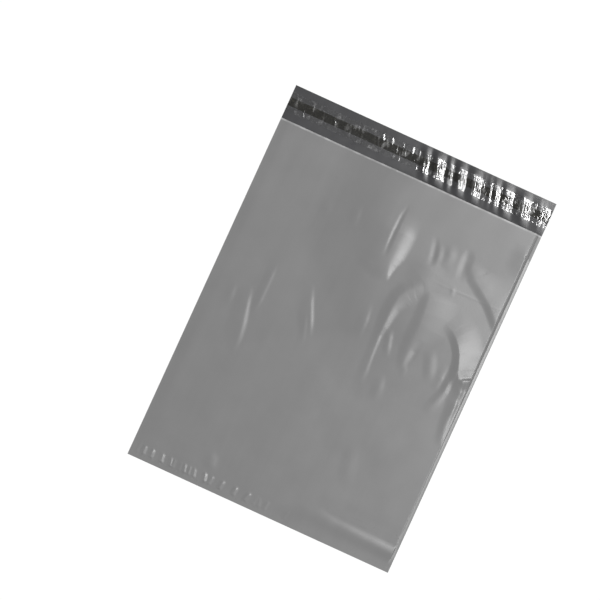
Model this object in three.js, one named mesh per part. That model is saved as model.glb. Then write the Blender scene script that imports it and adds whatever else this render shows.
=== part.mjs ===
// A poly mailer bag: a flat courier envelope of welded plastic film, lying on its back panel.
// Millimetres, +Z up. The origin is the middle of the underside, and +Y points to the flap.
import * as THREE from 'three';

// The bag, 12 by 15.5 inches with a 1.5 inch flap
const BAG_WIDTH = 305;
const POCKET_LENGTH = 394;
const FLAP_LENGTH = 38;
const FILM_THICKNESS = 0.06;
const SIDE_WELD_WIDTH = 3;
const BOTTOM_SEAL_WIDTH = 6;

// How loosely the front panel lies on the back panel
const RESTING_GAP = 0.5;
const LEAST_GAP = 0.35;
const LEFT_RISE_WIDTH = 7;
const RIGHT_RISE_WIDTH = 1.2;
const RIGHT_RISE_SHARE = 0.5;
const SEAL_RISE_WIDTH = 16;
const LIP_WIDTH = 2.8;
const LIP_DROP = 0.2;

// The glue stripe and the liner over it, measured from the mouth along the flap
const ADHESIVE_START = 15;
const ADHESIVE_WIDTH = 9;
const ADHESIVE_THICKNESS = 0.1;
const LINER_START = 9;
const LINER_WIDTH = 21;
const LINER_THICKNESS = 0.04;
const SEAT_CLEARANCE = 0.02;
const PAST_GLUE = 0.4;
const EDGE_MARGIN = 1;

// Worked out from the sizes above
const TOTAL_LENGTH = POCKET_LENGTH + FLAP_LENGTH;
const HALF_WIDTH = BAG_WIDTH / 2;
const WELD_X = HALF_WIDTH - SIDE_WELD_WIDTH;
const BACK_TOP = FILM_THICKNESS;
const WELD_TOP = 2 * FILM_THICKNESS;
const GLUE_START = POCKET_LENGTH + ADHESIVE_START;
const GLUE_END = GLUE_START + ADHESIVE_WIDTH;
const LINER_LINE = POCKET_LENGTH + LINER_START + LINER_WIDTH / 2;
const LINER_END = POCKET_LENGTH + LINER_START + LINER_WIDTH;

// In the lists below, a place is x from the middle of the bag and up from its bottom edge.

// Swells of the front panel over the air in the pocket: centre, how far each reaches to the left,
// to the right and along the bag, the share of that reach at full height, and the height
const SWELLS = [
  { at: [66, 345], left: 150, right: 185, along: 195, crown: 0.45, height: 4.6 },
  { at: [64, 280], left: 50, right: 98, along: 62, crown: 0, height: 1.9 },
  { at: [-30, 240], left: 115, right: 130, along: 210, crown: 0, height: 0.4 },
  { at: [100, 150], left: 70, right: 75, along: 80, crown: 0.2, height: 0.4 },
];

// Creases of the front panel: ridges, or grooves where the height is below 0. Each point of a path
// has x, up, height, and the widths of its slopes: the one towards +X (or +Y on a level path), then
// the other. A keenness of 0 makes the ridge line round, 1 makes it sharp.
const CREASES = [
  // The long crease below the bright tongue of film, and the stroke across it to the weld
  { keen: 0.6, path: [[98, 267, 0, 24, 8], [108, 262, 0.5, 26, 8], [114, 257, 1.2, 28, 8],
    [119, 251, 1.9, 28, 7.5], [124, 243, 2.5, 28, 7], [127, 235.5, 2.7, 24, 7.5],
    [130, 227.5, 2.5, 22, 9.5], [133, 221.5, 1.9, 16, 10], [138, 217.5, 1.2, 10, 10],
    [145, 217, 0.8, 8, 8], [151, 219, 0.3, 6, 8]] },
  { keen: 0.4, path: [[137, 220.5, 0, 8, 4], [142, 223.5, 0.8, 10, 5], [148, 227.5, 0.9, 10, 5],
    [153, 229, 0.5, 8, 5]] },
  // The folds that run on below it, and the edge strip beside the weld
  { keen: 0.3, path: [[129, 222, 0.8, 4, 8], [127.5, 212, 0.9, 5, 7], [126.5, 200, 0.7, 6, 7],
    [122, 186, 0.4, 8, 8], [116, 172, 0, 8, 8]] },
  { keen: 0.5, path: [[141, 216, 0.9, 5, 12], [142.8, 206, 1.1, 5, 13], [142.6, 198, 0.8, 4, 13],
    [143.4, 192, 1.2, 4.5, 12], [143.5, 167, 0.8, 4.5, 9], [145, 146, 0, 4, 8]] },
  // The hooked band above the tongue
  { keen: 0.05, path: [[93, 349, 0, 6, 5], [94.5, 341, 0.35, 7, 7.5], [98, 332, 0.8, 8.5, 9.5],
    [105, 323, 0.9, 12, 10.5], [118, 315, 0.9, 28, 10], [131, 306, 0.9, 38, 9.5], [141, 296, 1, 30, 9],
    [152, 284, 0.7, 20, 9]] },
  { keen: 0, path: [[149, 380, 0, 5, 20], [149, 367, 0.6, 5, 21], [149, 354, 0.6, 5, 21],
    [149, 341, 0, 5, 20]] },
  // The facet left of it and the low rise beyond its foot
  { keen: 0.8, path: [[16, 356, 0, 20, 34], [15.5, 346, 0.6, 22, 38], [15.2, 334, 1.5, 24, 40],
    [15.2, 320, 1.9, 21, 40], [15.4, 306, 1.8, 17, 40], [16.6, 298, 1.5, 14.5, 36],
    [18.6, 290, 0.9, 8, 24], [21, 282, 0, 4, 14]] },
  { keen: 0, path: [[60, 322, 0, 30, 26], [58, 312, 0.3, 34, 27], [54, 300, 0.35, 34, 27],
    [46, 288, 0, 24, 22]] },
  // Small folds between the facet and the hook
  { keen: 0.1, path: [[69, 347, 0, 8, 8], [71.5, 335, 0.3, 9, 8], [72, 320, 0, 8, 8]] },
  // The two long folds in the middle, which end round at the top
  { keen: 0.35, path: [[60, 292, 0, 14, 8], [51, 287, 0.5, 17, 10], [44.5, 280, 0.9, 18, 12],
    [40.2, 271, 1.3, 17, 12], [38.6, 259, 1.5, 11, 11], [38.3, 246, 1.5, 8.5, 11],
    [38.3, 236, 1.2, 7, 10], [38.5, 227, 0.7, 4, 9], [39.5, 205, 0.5, 3.8, 9], [40.5, 187, 0.4, 5, 9],
    [41, 168, 0, 5, 9]] },
  { keen: 0.1, path: [[69, 291, 0, 24, 8], [71, 282, 0.7, 34, 10.5], [72.5, 268, 1, 38, 12],
    [73.5, 254, 1.1, 32, 13], [73, 240, 1, 24, 12.5], [72.5, 226, 0.8, 12, 11.5],
    [73, 213, 0.5, 6.5, 9], [74, 202, 0, 5, 7]] },
  { keen: 0.2, path: [[47.5, 238, 0, 4, 5], [49, 229, 0.5, 5.5, 6], [51.5, 219, 0.45, 5.5, 7],
    [56, 207, 0, 4, 6]] },
  { keen: 0.1, path: [[94, 234, 0, 7, 9], [100, 223, 0.4, 7.5, 9], [103.5, 214, 0.4, 7.5, 9],
    [111, 202, 0, 7, 9]] },
  { keen: 0.2, path: [[16.5, 254, 0, 4, 9], [18, 236, 0.45, 5, 11], [19.5, 213, 0, 4, 9]] },
  { keen: 0.2, path: [[60.5, 190, 0, 5, 9], [61.5, 176, 0.45, 6.5, 11], [62.5, 160, 0, 5, 9]] },
  { keen: 0.1, path: [[67, 112, 0, 10, 12], [65, 97, 0.3, 12, 12], [67, 82, 0.3, 12, 12],
    [70, 66, 0, 10, 10]] },
  // Faint streaks on the flat left half
  { keen: 0.3, path: [[-92, 252, 0, 3, 7], [-92, 236, 0.3, 3.5, 9], [-92, 208, 0.3, 3.5, 9],
    [-93, 192, 0, 3, 7]] },
  { keen: 0.2, path: [[-107.5, 219, 0, 4, 12], [-104, 199, 0.6, 5.5, 18], [-99.5, 178, 0.75, 6.5, 20],
    [-97, 162, 0.5, 6, 18], [-96, 146, 0, 4, 12]] },
  { keen: 0.2, path: [[-124, 216, 0, 4, 9], [-123, 202, 0.35, 5, 11], [-122, 188, 0, 4, 9]] },
  { keen: 0.3, path: [[-49, 247, 0, 3.5, 10], [-42.5, 228, 0.6, 5, 15], [-34.5, 210, 0.6, 5, 15],
    [-27.5, 193, 0, 3.5, 10]] },
  { keen: 0.3, path: [[-44, 219, 0, 3, 7], [-38, 203, 0.3, 4, 9], [-32, 184, 0, 3, 7]] },
  { keen: 0.1, path: [[-68, 340, 0, 5, 9], [-67, 327, 0.3, 5.5, 10], [-66, 314, 0, 5, 9]] },
  { keen: 0.1, path: [[-38, 346, 0, 5, 9], [-36.5, 332, 0.35, 6, 10], [-35, 317, 0, 5, 9]] },
  { keen: 0.3, path: [[-67, 42, 0, 3, 7], [-66, 31, 0.5, 4.5, 9], [-65.5, 21, 0.4, 4, 9],
    [-65, 13, 0, 3, 7]] },
  // The fold along the bottom seal and the hollow behind it
  { keen: 0.2, path: [[35, 24, 0, 8, 12], [65, 23.5, 0.5, 9, 14], [110, 22, 1, 9.5, 14],
    [153, 20.5, 1, 10, 14]] },
  { keen: 0.1, path: [[45, 38, 0, 10, 7], [80, 34.5, -0.5, 14, 9], [153, 33, -0.75, 16, 9]] },
];

// Small gathers above the bottom seal, where the hot bar shrank the film: for each crest its x,
// its height, and how far it leans for each millimetre up
const SEAL_GATHERS = {
  crests: [[-145.8, 0.35, 0], [-138, 0.85, 0], [-129, 1.05, 0], [-117.2, 0.85, -0.1],
    [-106.8, 0.7, -0.2], [-103.6, 0.4, 0], [-95.5, 0.3, 0], [-90.6, 0.7, -0.2], [-85.3, 0.5, -0.1],
    [-79.6, 0.6, -0.2], [-67, 1.05, -0.25], [-60.6, 0.75, 0.2], [-48.2, 0.95, 0.2], [-32.5, 0.9, 0.15],
    [-18, 0.85, 0.35], [4.5, 0.3, 0.2]],
  firstSlope: 3.1,
  otherSlope: 3.6,
  span: [4.5, 16.5],
};

// Folds of the flap, which the glue and the liner follow: x on the liner's middle line, and height.
// They lean: a crest moves by FOLD_LEAN for each millimetre up.
const FOLD_LEAN = -0.27;
const FLAP_FOLDS = [
  [-160, 0], [0, 0], [7, 1.2], [13.5, 0.2], [19, 1.9], [31, 0.3], [34, 1.2],
  [40, 0.4], [46, 1.9], [55, 0.5], [63, 1.9], [72.5, 0.5], [76, 0.8], [77.5, 0.6], [82, 1.1],
  [84.5, 0.8], [88.5, 1.3], [95, 0.6], [100, 1.5], [110, 0.3], [121, 1.7], [130.5, 0.5], [141, 1.1],
  [143.5, 0.7], [145.5, 0.9], [147.5, 0.5], [160, 0.5],
];
const FOLD_SPAN = [402.5, 425];
const FOLD_SHARE_AT_END = 0.25;

// Puckers of the liner, which lean as the folds do: x on its middle line, half width, and height at
// its mouth side, its middle and its free side
const LINER_PUCKERS = [
  [-143, 2, 0, 0.05, 0.35], [-136.5, 2.4, 0.35, 0.1, 0], [-99, 2, 0.05, 0.3, 0.35],
  [-71.5, 2, 0.3, 0.1, 0.35],
  [-54, 3, 0, 0.1, 0.3], [-43.5, 2.2, 0, 0.1, 0.45], [-33, 2.4, 0, 0.1, 0.4], [-24, 2.2, 0.4, 0.2, 0.2],
  [-9, 2.6, 0.1, 0.1, 0.55], [-1, 2, 0.35, 0.05, 0.4], [9.5, 2.6, 0.2, 0.2, 0.6], [22, 2.4, 0.5, 0.2, 0.1],
  [27, 3, 0.1, 0.2, 0.3], [50, 2.5, 0.3, 0.2, 0.3], [67, 2.6, 0.3, 0.3, 0.3], [91, 2.5, 0.4, 0.3, 0.1],
  [104, 3, 0.3, 0.3, 0.4], [125, 3, 0.3, 0.3, 0.3],
];

const clamp01 = (value) => Math.min(1, Math.max(0, value));
const mix = (from, to, share) => from + (to - from) * share;
const bell = (share) => 0.5 + 0.5 * Math.cos(Math.PI * clamp01(share));
const smooth = (share) => 1 - bell(share);
const fromBottom = (up) => up - TOTAL_LENGTH / 2;

// A swell of the film, level over its crown and falling away smoothly
function swellHeight(swell, x, up) {
  const dx = x - swell.at[0];
  const across = dx / (dx < 0 ? swell.left : swell.right);
  const along = (up - swell.at[1]) / swell.along;
  return swell.height * bell((Math.hypot(across, along) - swell.crown) / (1 - swell.crown));
}

// A ridge along its path, with the height and the widths of the path's nearest point
function creaseHeight({ keen, path }, x, up) {
  let nearest = Infinity;
  let height = 0;
  let width = 1;
  for (let i = 1; i < path.length; i += 1) {
    const [x0, up0, height0, plus0, minus0] = path[i - 1];
    const [x1, up1, height1, plus1, minus1] = path[i];
    const dx = x1 - x0;
    const dUp = up1 - up0;
    const along = clamp01(((x - x0) * dx + (up - up0) * dUp) / (dx * dx + dUp * dUp));
    const fromX = x - x0 - along * dx;
    const fromUp = up - up0 - along * dUp;
    const away = Math.hypot(fromX, fromUp);
    if (away < nearest) {
      // The side is 1 straight out on the first slope, -1 on the other, and 0 off the path's end
      const side = (dx * fromUp - dUp * fromX) / (Math.hypot(dx, dUp) * Math.max(away, 1e-9));
      nearest = away;
      height = mix(height0, height1, along);
      width = mix(mix(minus0, minus1, along), mix(plus0, plus1, along), (1 + side) / 2);
    }
  }
  const share = clamp01(nearest / width);
  return height * mix(bell(share), (1 - share) ** 1.5, keen);
}

// The gathers stand up just above the seal and die away up the panel
function gatherHeight(x, up) {
  const { crests, firstSlope, otherSlope, span } = SEAL_GATHERS;
  const middle = (span[0] + span[1]) / 2;
  const lengthwise = bell((Math.abs(up - middle) / (span[1] - middle)) ** 1.5);
  let highest = 0;
  for (const [place, height, lean] of crests) {
    const away = x - place - lean * (up - middle);
    const slope = away > 0 ? firstSlope : otherSlope;
    highest = Math.max(highest, height * (1 - clamp01(Math.abs(away) / slope)));
  }
  return highest * lengthwise;
}

// Clear height inside the pocket, nothing at the side welds and the bottom seal
function pocketGap(x, up) {
  let loose = RESTING_GAP;
  for (const swell of SWELLS) loose += swellHeight(swell, x, up);
  for (const crease of CREASES) loose += creaseHeight(crease, x, up);
  const intoLip = clamp01((up - POCKET_LENGTH + LIP_WIDTH) / LIP_WIDTH);
  loose = Math.max(loose, LEAST_GAP + LIP_DROP * intoLip) - LIP_DROP * intoLip;
  const rightRise = RIGHT_RISE_WIDTH + RIGHT_RISE_SHARE * loose;
  const atSides = smooth((WELD_X + x) / LEFT_RISE_WIDTH) * smooth((WELD_X - x) / rightRise);
  const atSeal = smooth((up - BOTTOM_SEAL_WIDTH) / SEAL_RISE_WIDTH);
  return atSides * (atSeal * loose + gatherHeight(x, up));
}

// Height of the flap's folds where they cross the liner, by the place of the crest
function foldHeight(crest) {
  const next = FLAP_FOLDS.findIndex(([place]) => place >= crest);
  const [x0, height0] = FLAP_FOLDS[next - 1];
  const [x1, height1] = FLAP_FOLDS[next];
  return mix(height0, height1, (crest - x0) / (x1 - x0));
}

// How far the flap stands off the floor: full under the liner, less towards its end and the mouth
function flapHeight(crest, up) {
  const toMouth = clamp01((FOLD_SPAN[0] - up) / (FOLD_SPAN[0] - POCKET_LENGTH));
  const toEnd = clamp01((up - FOLD_SPAN[1]) / (TOTAL_LENGTH - FOLD_SPAN[1]));
  return foldHeight(crest) * (1 - toMouth) * mix(1, FOLD_SHARE_AT_END, toEnd);
}

// Places from the first stop to the last, with its own spacing between each two stops
function spaced(stops, steps) {
  const places = [stops[0]];
  steps.forEach((step, i) => {
    const length = stops[i + 1] - stops[i];
    const count = Math.max(1, Math.round(length / step));
    for (let k = 1; k <= count; k += 1) places.push(stops[i] + (length * k) / count);
  });
  return places;
}

// Spacing of the facets, wide on flat film and close where it is creased. Each zone has where it
// ends up the bag, the spacing of its rows, and the stops between which its columns change theirs.
const FACET_ZONES = [
  { end: 41, rowStep: 5, stops: [50], steps: [27, 12] },
  { end: 140, rowStep: 25, stops: [40], steps: [27, 14] },
  { end: 206, rowStep: 8, stops: [-112, -86, -50, -22, 8, 100], steps: [15, 5, 36, 6, 30, 8.5, 4.8] },
  { end: 250, rowStep: 5, stops: [-112, -86, -50, -22, 2], steps: [15, 6.5, 36, 7, 12, 4.6] },
  { end: 347, rowStep: 5, stops: [-44, 2], steps: [30, 12, 4.6] },
  { end: POCKET_LENGTH - LIP_WIDTH, rowStep: 11, stops: [0], steps: [24, 12] },
];
const GATHER_ROW_STEP = 3;
const LEAST_COLUMN = 0.5;
const PLAIN_START = 20;
const PLAIN_STEP = 14;
const RIGHT_RISE_REACH = 4;
const RIGHT_RISE_STEP = 2;

// Rows of facets from the bottom edge to the mouth
function rowPlaces() {
  const [low, high] = SEAL_GATHERS.span;
  const ends = FACET_ZONES.map((zone) => zone.end);
  const rowSteps = FACET_ZONES.map((zone) => zone.rowStep);
  return spaced(
    [0, BOTTOM_SEAL_WIDTH, (low + high) / 2, high, ...ends, POCKET_LENGTH],
    [BOTTOM_SEAL_WIDTH, high, GATHER_ROW_STEP, ...rowSteps, LIP_WIDTH],
  );
}

// On the gathers, each crest has a column, and so has the foot of each of its slopes
function gatherColumns(up) {
  const { crests, firstSlope, otherSlope, span } = SEAL_GATHERS;
  const middle = (span[0] + span[1]) / 2;
  const places = [-WELD_X, ...spaced([PLAIN_START, WELD_X], [PLAIN_STEP])];
  for (const [place, , lean] of crests) {
    const crest = place + lean * (up - middle);
    places.push(crest - otherSlope, crest, crest + firstSlope);
  }
  places.sort((a, b) => a - b);
  return places.filter((x, i) => x >= -WELD_X && (i === 0 || x - places[i - 1] > LEAST_COLUMN));
}

// Columns of facets in one row, from weld to weld
function columnPlaces(up) {
  if (up > BOTTOM_SEAL_WIDTH && up <= SEAL_GATHERS.span[1]) return gatherColumns(up);
  const zone = FACET_ZONES.find(({ end }) => up < end - 1) ?? last(FACET_ZONES);
  return spaced(
    [-WELD_X, -WELD_X + LEFT_RISE_WIDTH, ...zone.stops, WELD_X - RIGHT_RISE_REACH, WELD_X],
    [LEFT_RISE_WIDTH, ...zone.steps, RIGHT_RISE_STEP],
  );
}

// A soup of triangles that becomes one closed mesh
class Skin {
  constructor() {
    this.corners = [];
  }

  triangle(a, b, c, turned) {
    const order = turned ? [a, c, b] : [a, b, c];
    for (const point of order) this.corners.push(...point);
  }

  // Joins two rows of points, each in its own spacing, into one band of triangles
  band(lower, upper, key, turned = false) {
    let i = 0;
    let j = 0;
    while (i < lower.length - 1 || j < upper.length - 1) {
      const lowerNext = i < lower.length - 1 ? lower[i + 1][key] : Infinity;
      const upperNext = j < upper.length - 1 ? upper[j + 1][key] : Infinity;
      if (lowerNext <= upperNext) {
        this.triangle(lower[i], lower[i + 1], upper[j], turned);
        i += 1;
      } else {
        this.triangle(lower[i], upper[j + 1], upper[j], turned);
        j += 1;
      }
    }
  }

  // Joins two rows of as many points each, point by point
  ladder(lower, upper, turned = false) {
    for (let i = 1; i < lower.length; i += 1) {
      this.triangle(lower[i - 1], lower[i], upper[i - 1], turned);
      this.triangle(lower[i], upper[i], upper[i - 1], turned);
    }
  }

  // A face built of rows of points, looking up or, turned, down. The last rows, where a number of
  // them is given, share their columns, however those lean.
  face(rows, turned = false, leaning = 1) {
    const from = rows.length - leaning;
    for (let i = 1; i <= from; i += 1) this.band(rows[i - 1], rows[i], 0, turned);
    for (let i = from + 1; i < rows.length; i += 1) this.ladder(rows[i - 1], rows[i], turned);
  }

  // A closed sheet between two sets of rows with as many points in each row
  sheet(under, top) {
    for (let i = 1; i < top.length; i += 1) {
      this.ladder(top[i - 1], top[i]);
      this.ladder(under[i - 1], under[i], true);
    }
    this.ladder(first(under), first(top));
    this.ladder(last(under), last(top), true);
    this.ladder(under.map(first), top.map(first), true);
    this.ladder(under.map(last), top.map(last));
  }

  geometry() {
    const shape = new THREE.BufferGeometry();
    shape.setAttribute('position', new THREE.Float32BufferAttribute(this.corners, 3));
    shape.computeVertexNormals();
    return shape;
  }
}

const first = (row) => row[0];
const last = (row) => row[row.length - 1];
const atHeight = (row, z) => row.map(([x, y]) => [x, y, z]);

// Points of a flat row from edge to edge
const BACK_COLUMNS = 4;

function flatRow(halfWidth, y, z) {
  const points = [];
  for (let k = 0; k < BACK_COLUMNS; k += 1) {
    points.push([-halfWidth + (2 * halfWidth * k) / (BACK_COLUMNS - 1), y, z]);
  }
  return points;
}

// A row across the flap, with a point on each of the given crests. Its height is worked out from
// the crest's place and how far up the row lies, and base is added.
function flapRow(crests, up, base, lift = () => 0) {
  const shift = FOLD_LEAN * (up - LINER_LINE);
  const point = (x, crest) => [x, fromBottom(up), base + flapHeight(crest, up) + lift(crest)];
  return [
    point(-HALF_WIDTH, -HALF_WIDTH - shift),
    ...crests.map((crest) => point(crest + shift, crest)),
    point(HALF_WIDTH, HALF_WIDTH - shift),
  ];
}

// Front panel, back panel and flap: one film, welded down the sides and across the bottom
function bagFilm() {
  const skin = new Skin();
  const ups = rowPlaces();
  const inner = ups.filter((up) => up >= BOTTOM_SEAL_WIDTH);
  const flapUps = [...FOLD_SPAN, TOTAL_LENGTH];
  const foldCrests = innerFolds();

  // Underside of the front panel, the ceiling of the pocket
  const ceiling = inner.map((up) => columnPlaces(up).map(
    (x) => [x, fromBottom(up), BACK_TOP + pocketGap(x, up)]));
  // Outside of the front panel, one film higher, with the welded margins
  const outside = ups.map((up) => {
    const y = fromBottom(up);
    const gap = (x) => (up > BOTTOM_SEAL_WIDTH ? pocketGap(x, up) : 0);
    const between = columnPlaces(up).map((x) => [x, y, WELD_TOP + gap(x)]);
    return [[-HALF_WIDTH, y, WELD_TOP], ...between, [HALF_WIDTH, y, WELD_TOP]];
  });
  // Inside of the back panel, the floor of the pocket, and the top of the flap beyond it
  const floor = inner.map((up) => flatRow(WELD_X, fromBottom(up), BACK_TOP));
  floor[0] = first(ceiling);
  const mouthFloor = last(floor);
  const mouthLine = [[-HALF_WIDTH, mouthFloor[0][1], BACK_TOP], ...mouthFloor,
    [HALF_WIDTH, mouthFloor[0][1], BACK_TOP]];
  const flapTop = [mouthLine, ...flapUps.map((up) => flapRow(foldCrests, up, BACK_TOP))];
  // Underside of the back panel and the flap, flat where the bag rests
  const underside = ups.map((up) => flatRow(HALF_WIDTH, fromBottom(up), 0));
  underside[0] = atHeight(first(outside), 0);
  underside.push(...flapUps.map((up) => flapRow(foldCrests, up, 0)));

  skin.face(outside);
  skin.face(ceiling, true);
  skin.face(floor);
  skin.face(flapTop, false, flapUps.length);
  skin.face(underside, true, flapUps.length);

  // Edge of the front panel at the mouth, with the two welded corners
  const mouthUnder = [first(mouthLine), ...last(ceiling), last(mouthLine)];
  skin.band(mouthUnder, last(outside), 0, true);
  // Free end of the flap, and the bottom edge of both panels
  skin.ladder(last(underside), last(flapTop), true);
  skin.band(first(underside), atHeight(first(underside), BACK_TOP), 0);
  skin.band(atHeight(first(underside), BACK_TOP), first(outside), 0);
  // Long edges: the back film runs to the end of the flap, the front film to the mouth
  for (const [pick, turned] of [[first, true], [last, false]]) {
    const low = underside.map(pick);
    const frontTop = outside.map(pick);
    const backTop = [...atHeight(frontTop, BACK_TOP), ...flapTop.slice(1).map(pick)];
    skin.band(low, backTop, 1, turned);
    skin.band(atHeight(frontTop, BACK_TOP), frontTop, 1, turned);
  }
  return skin.geometry();
}

// Crests and valleys of the flap's folds that run across the liner inside the bag's edges
function innerFolds() {
  return FLAP_FOLDS.map(first).filter((place) => Math.abs(place) < WELD_X - EDGE_MARGIN);
}

// The glue stripe: a low flat bead with thin edges, run out across the flap over its folds
function adhesiveStrip() {
  const skin = new Skin();
  const crests = innerFolds();
  const low = BACK_TOP + SEAT_CLEARANCE;
  const edge = ADHESIVE_THICKNESS;
  const under = [GLUE_START, GLUE_END].map((up) => flapRow(crests, up, low));
  const top = [GLUE_START + edge, GLUE_END - edge].map(
    (up) => flapRow(crests, up, low + ADHESIVE_THICKNESS));
  skin.sheet(under, top);
  return skin.geometry();
}

// How far the liner stands off what lies below it: each pucker has a height at the liner's mouth
// side, its middle and its free side
function linerLift(crest, across) {
  let lift = 0;
  for (const [place, halfWidth, atMouth, atMiddle, atEnd] of LINER_PUCKERS) {
    const height = across < 0.5 ? mix(atMouth, atMiddle, across * 2) : mix(atMiddle, atEnd, across * 2 - 1);
    lift = Math.max(lift, height * bell(Math.abs(crest - place) / halfWidth));
  }
  return lift;
}

// The liner: a thin puckered strip over the glue, cut flush with the bag's edges
function releaseLiner() {
  const skin = new Skin();
  const start = POCKET_LENGTH + LINER_START;
  const ups = [start, GLUE_START - PAST_GLUE, LINER_LINE, GLUE_END + PAST_GLUE, LINER_END];
  const places = new Set(innerFolds());
  for (const [place, halfWidth] of LINER_PUCKERS) {
    for (const share of [-1, 0, 1]) places.add(place + share * halfWidth);
  }
  const reach = HALF_WIDTH - EDGE_MARGIN + FOLD_LEAN * (LINER_WIDTH / 2);
  const crests = [...places].filter((crest) => Math.abs(crest) < reach).sort((a, b) => a - b);
  const overGlue = BACK_TOP + SEAT_CLEARANCE + ADHESIVE_THICKNESS;
  const under = ups.map((up) => {
    const onGlue = up > start && up < LINER_END;
    const across = (up - start) / LINER_WIDTH;
    return flapRow(crests, up, (onGlue ? overGlue : BACK_TOP) + SEAT_CLEARANCE,
      (crest) => linerLift(crest, across));
  });
  const top = under.map((row) => row.map(([x, y, z]) => [x, y, z + LINER_THICKNESS]));
  skin.sheet(under, top);
  return skin.geometry();
}

// Satin grey film, the outside of the bag
const greyFilm = new THREE.MeshStandardMaterial({
  color: 0x868786,
  roughness: 0.42,
  metalness: 0,
});

// Pale brown hot-melt glue, dark over the flap's near-black inner side
const glue = new THREE.MeshStandardMaterial({
  color: 0x2a2824,
  roughness: 0.35,
  metalness: 0,
});

// Clear glossy release film
const clearFilm = new THREE.MeshStandardMaterial({
  color: 0xcfd3d6,
  roughness: 0.14,
  metalness: 0,
  transparent: true,
  opacity: 0.4,
});

function namedMesh(name, geometry, material) {
  const mesh = new THREE.Mesh(geometry, material);
  mesh.name = name;
  return mesh;
}

const mailer = new THREE.Group();
mailer.add(namedMesh('bag_film', bagFilm(), greyFilm));
mailer.add(namedMesh('adhesive_strip', adhesiveStrip(), glue));
mailer.add(namedMesh('release_liner', releaseLiner(), clearFilm));

export default mailer;
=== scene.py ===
"""A grey poly mailer bag lying flat, seen from straight above: welded film, glue stripe and clear liner."""
import math

import bpy
import numpy as np
from mathutils import Matrix, Vector


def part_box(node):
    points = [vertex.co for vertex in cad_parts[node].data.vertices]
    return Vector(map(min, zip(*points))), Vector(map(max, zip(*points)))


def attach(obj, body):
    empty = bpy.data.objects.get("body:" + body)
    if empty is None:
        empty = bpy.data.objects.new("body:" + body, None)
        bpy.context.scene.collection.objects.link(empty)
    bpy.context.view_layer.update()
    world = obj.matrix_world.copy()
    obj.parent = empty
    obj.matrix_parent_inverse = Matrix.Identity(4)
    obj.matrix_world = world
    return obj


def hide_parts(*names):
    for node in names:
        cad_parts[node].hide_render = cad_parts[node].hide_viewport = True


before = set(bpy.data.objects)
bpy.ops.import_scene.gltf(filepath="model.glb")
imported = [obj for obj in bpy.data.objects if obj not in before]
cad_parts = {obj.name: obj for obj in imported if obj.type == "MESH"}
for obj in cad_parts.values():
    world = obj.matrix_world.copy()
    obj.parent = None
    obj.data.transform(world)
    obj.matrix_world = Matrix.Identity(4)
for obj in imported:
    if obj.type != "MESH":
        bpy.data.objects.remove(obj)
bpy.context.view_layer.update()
MM = 0.001

# Sizes of the bag in millimetres, the same as the solids have
FILM_LOW, FILM_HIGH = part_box("bag_film")
GLUE_LOW, GLUE_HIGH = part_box("adhesive_strip")
LINER_LOW, LINER_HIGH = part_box("release_liner")
HALF_WIDTH = FILM_HIGH[0] / MM
TOTAL_LENGTH = (FILM_HIGH[1] - FILM_LOW[1]) / MM
POCKET_LENGTH = 394.0
FILM_THICKNESS = 0.06
SIDE_WELD_WIDTH = 3.0
BOTTOM_SEAL_WIDTH = 6.0
WELD_X = HALF_WIDTH - SIDE_WELD_WIDTH
WELD_TOP = 2 * FILM_THICKNESS

# The photograph: its scale, where the middle of the bag shows, and how the bag is turned
PHOTO_SIDE_PX = 600
PHOTO_PX_PER_M = 938.5
BAG_MIDDLE_PX = (342.0, 328.9)
BAG_TURN = math.radians(24.6)
CAMERA_HEIGHT = 1.8
SENSOR_WIDTH = 36.0


# Camera

def photo_axes():
    """The photograph's right and up directions on the floor."""
    right = Vector((math.cos(BAG_TURN), math.sin(BAG_TURN), 0.0))
    up = Vector((-math.sin(BAG_TURN), math.cos(BAG_TURN), 0.0))
    return right, up


def photo_middle():
    """The point of the floor that shows in the middle of the photograph."""
    right, up = photo_axes()
    middle = PHOTO_SIDE_PX / 2
    across = (middle - BAG_MIDDLE_PX[0]) / PHOTO_PX_PER_M
    along = (BAG_MIDDLE_PX[1] - middle) / PHOTO_PX_PER_M
    return right * across + up * along


def make_camera():
    """The camera looks straight down, with the photograph's scale on the floor."""
    data = bpy.data.cameras.new("camera")
    data.sensor_width = SENSOR_WIDTH
    data.lens = SENSOR_WIDTH * CAMERA_HEIGHT * PHOTO_PX_PER_M / PHOTO_SIDE_PX
    camera = bpy.data.objects.new("camera", data)
    camera.location = photo_middle() + Vector((0.0, 0.0, CAMERA_HEIGHT))
    camera.rotation_euler = (0.0, 0.0, BAG_TURN)
    bpy.context.scene.collection.objects.link(camera)
    bpy.context.scene.camera = camera


# Shapes that the forms are made of

WAVES_IN_RIPPLE = 18


def bell(share):
    """Falls smoothly from 1 where the share is 0 to 0 where it is 1."""
    share = np.clip(share, 0.0, 1.0)
    return 0.5 + 0.5 * np.cos(np.pi * share)


def smooth(share):
    """Rises smoothly from 0 to 1 as the share does."""
    return 1.0 - bell(share)


def ripple(x, up, wavelengths, height, seed, stretch=1.0):
    """Faint waves in many directions, longer along the bag where stretched."""
    draw = np.random.default_rng(seed)
    total = np.zeros_like(x)
    for _ in range(WAVES_IN_RIPPLE):
        angle = draw.uniform(0, math.pi)
        length = draw.uniform(*wavelengths)
        phase = draw.uniform(0, 2 * math.pi)
        run = x * math.cos(angle) + up * math.sin(angle) / stretch
        total += np.sin(2 * math.pi * run / length + phase)
    return height * total / math.sqrt(WAVES_IN_RIPPLE)


def spaced(stops, steps):
    """Places from the first stop to the last, with its own step between each two stops."""
    places = [stops[0]]
    for start, end, step in zip(stops, stops[1:], steps):
        count = max(1, round((end - start) / step))
        places.extend(start + (end - start) * (k + 1) / count for k in range(count))
    return np.array(places, dtype=float)


# Forms of the film. Places are x from the middle of the bag and up from its bottom edge, in mm.

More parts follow.
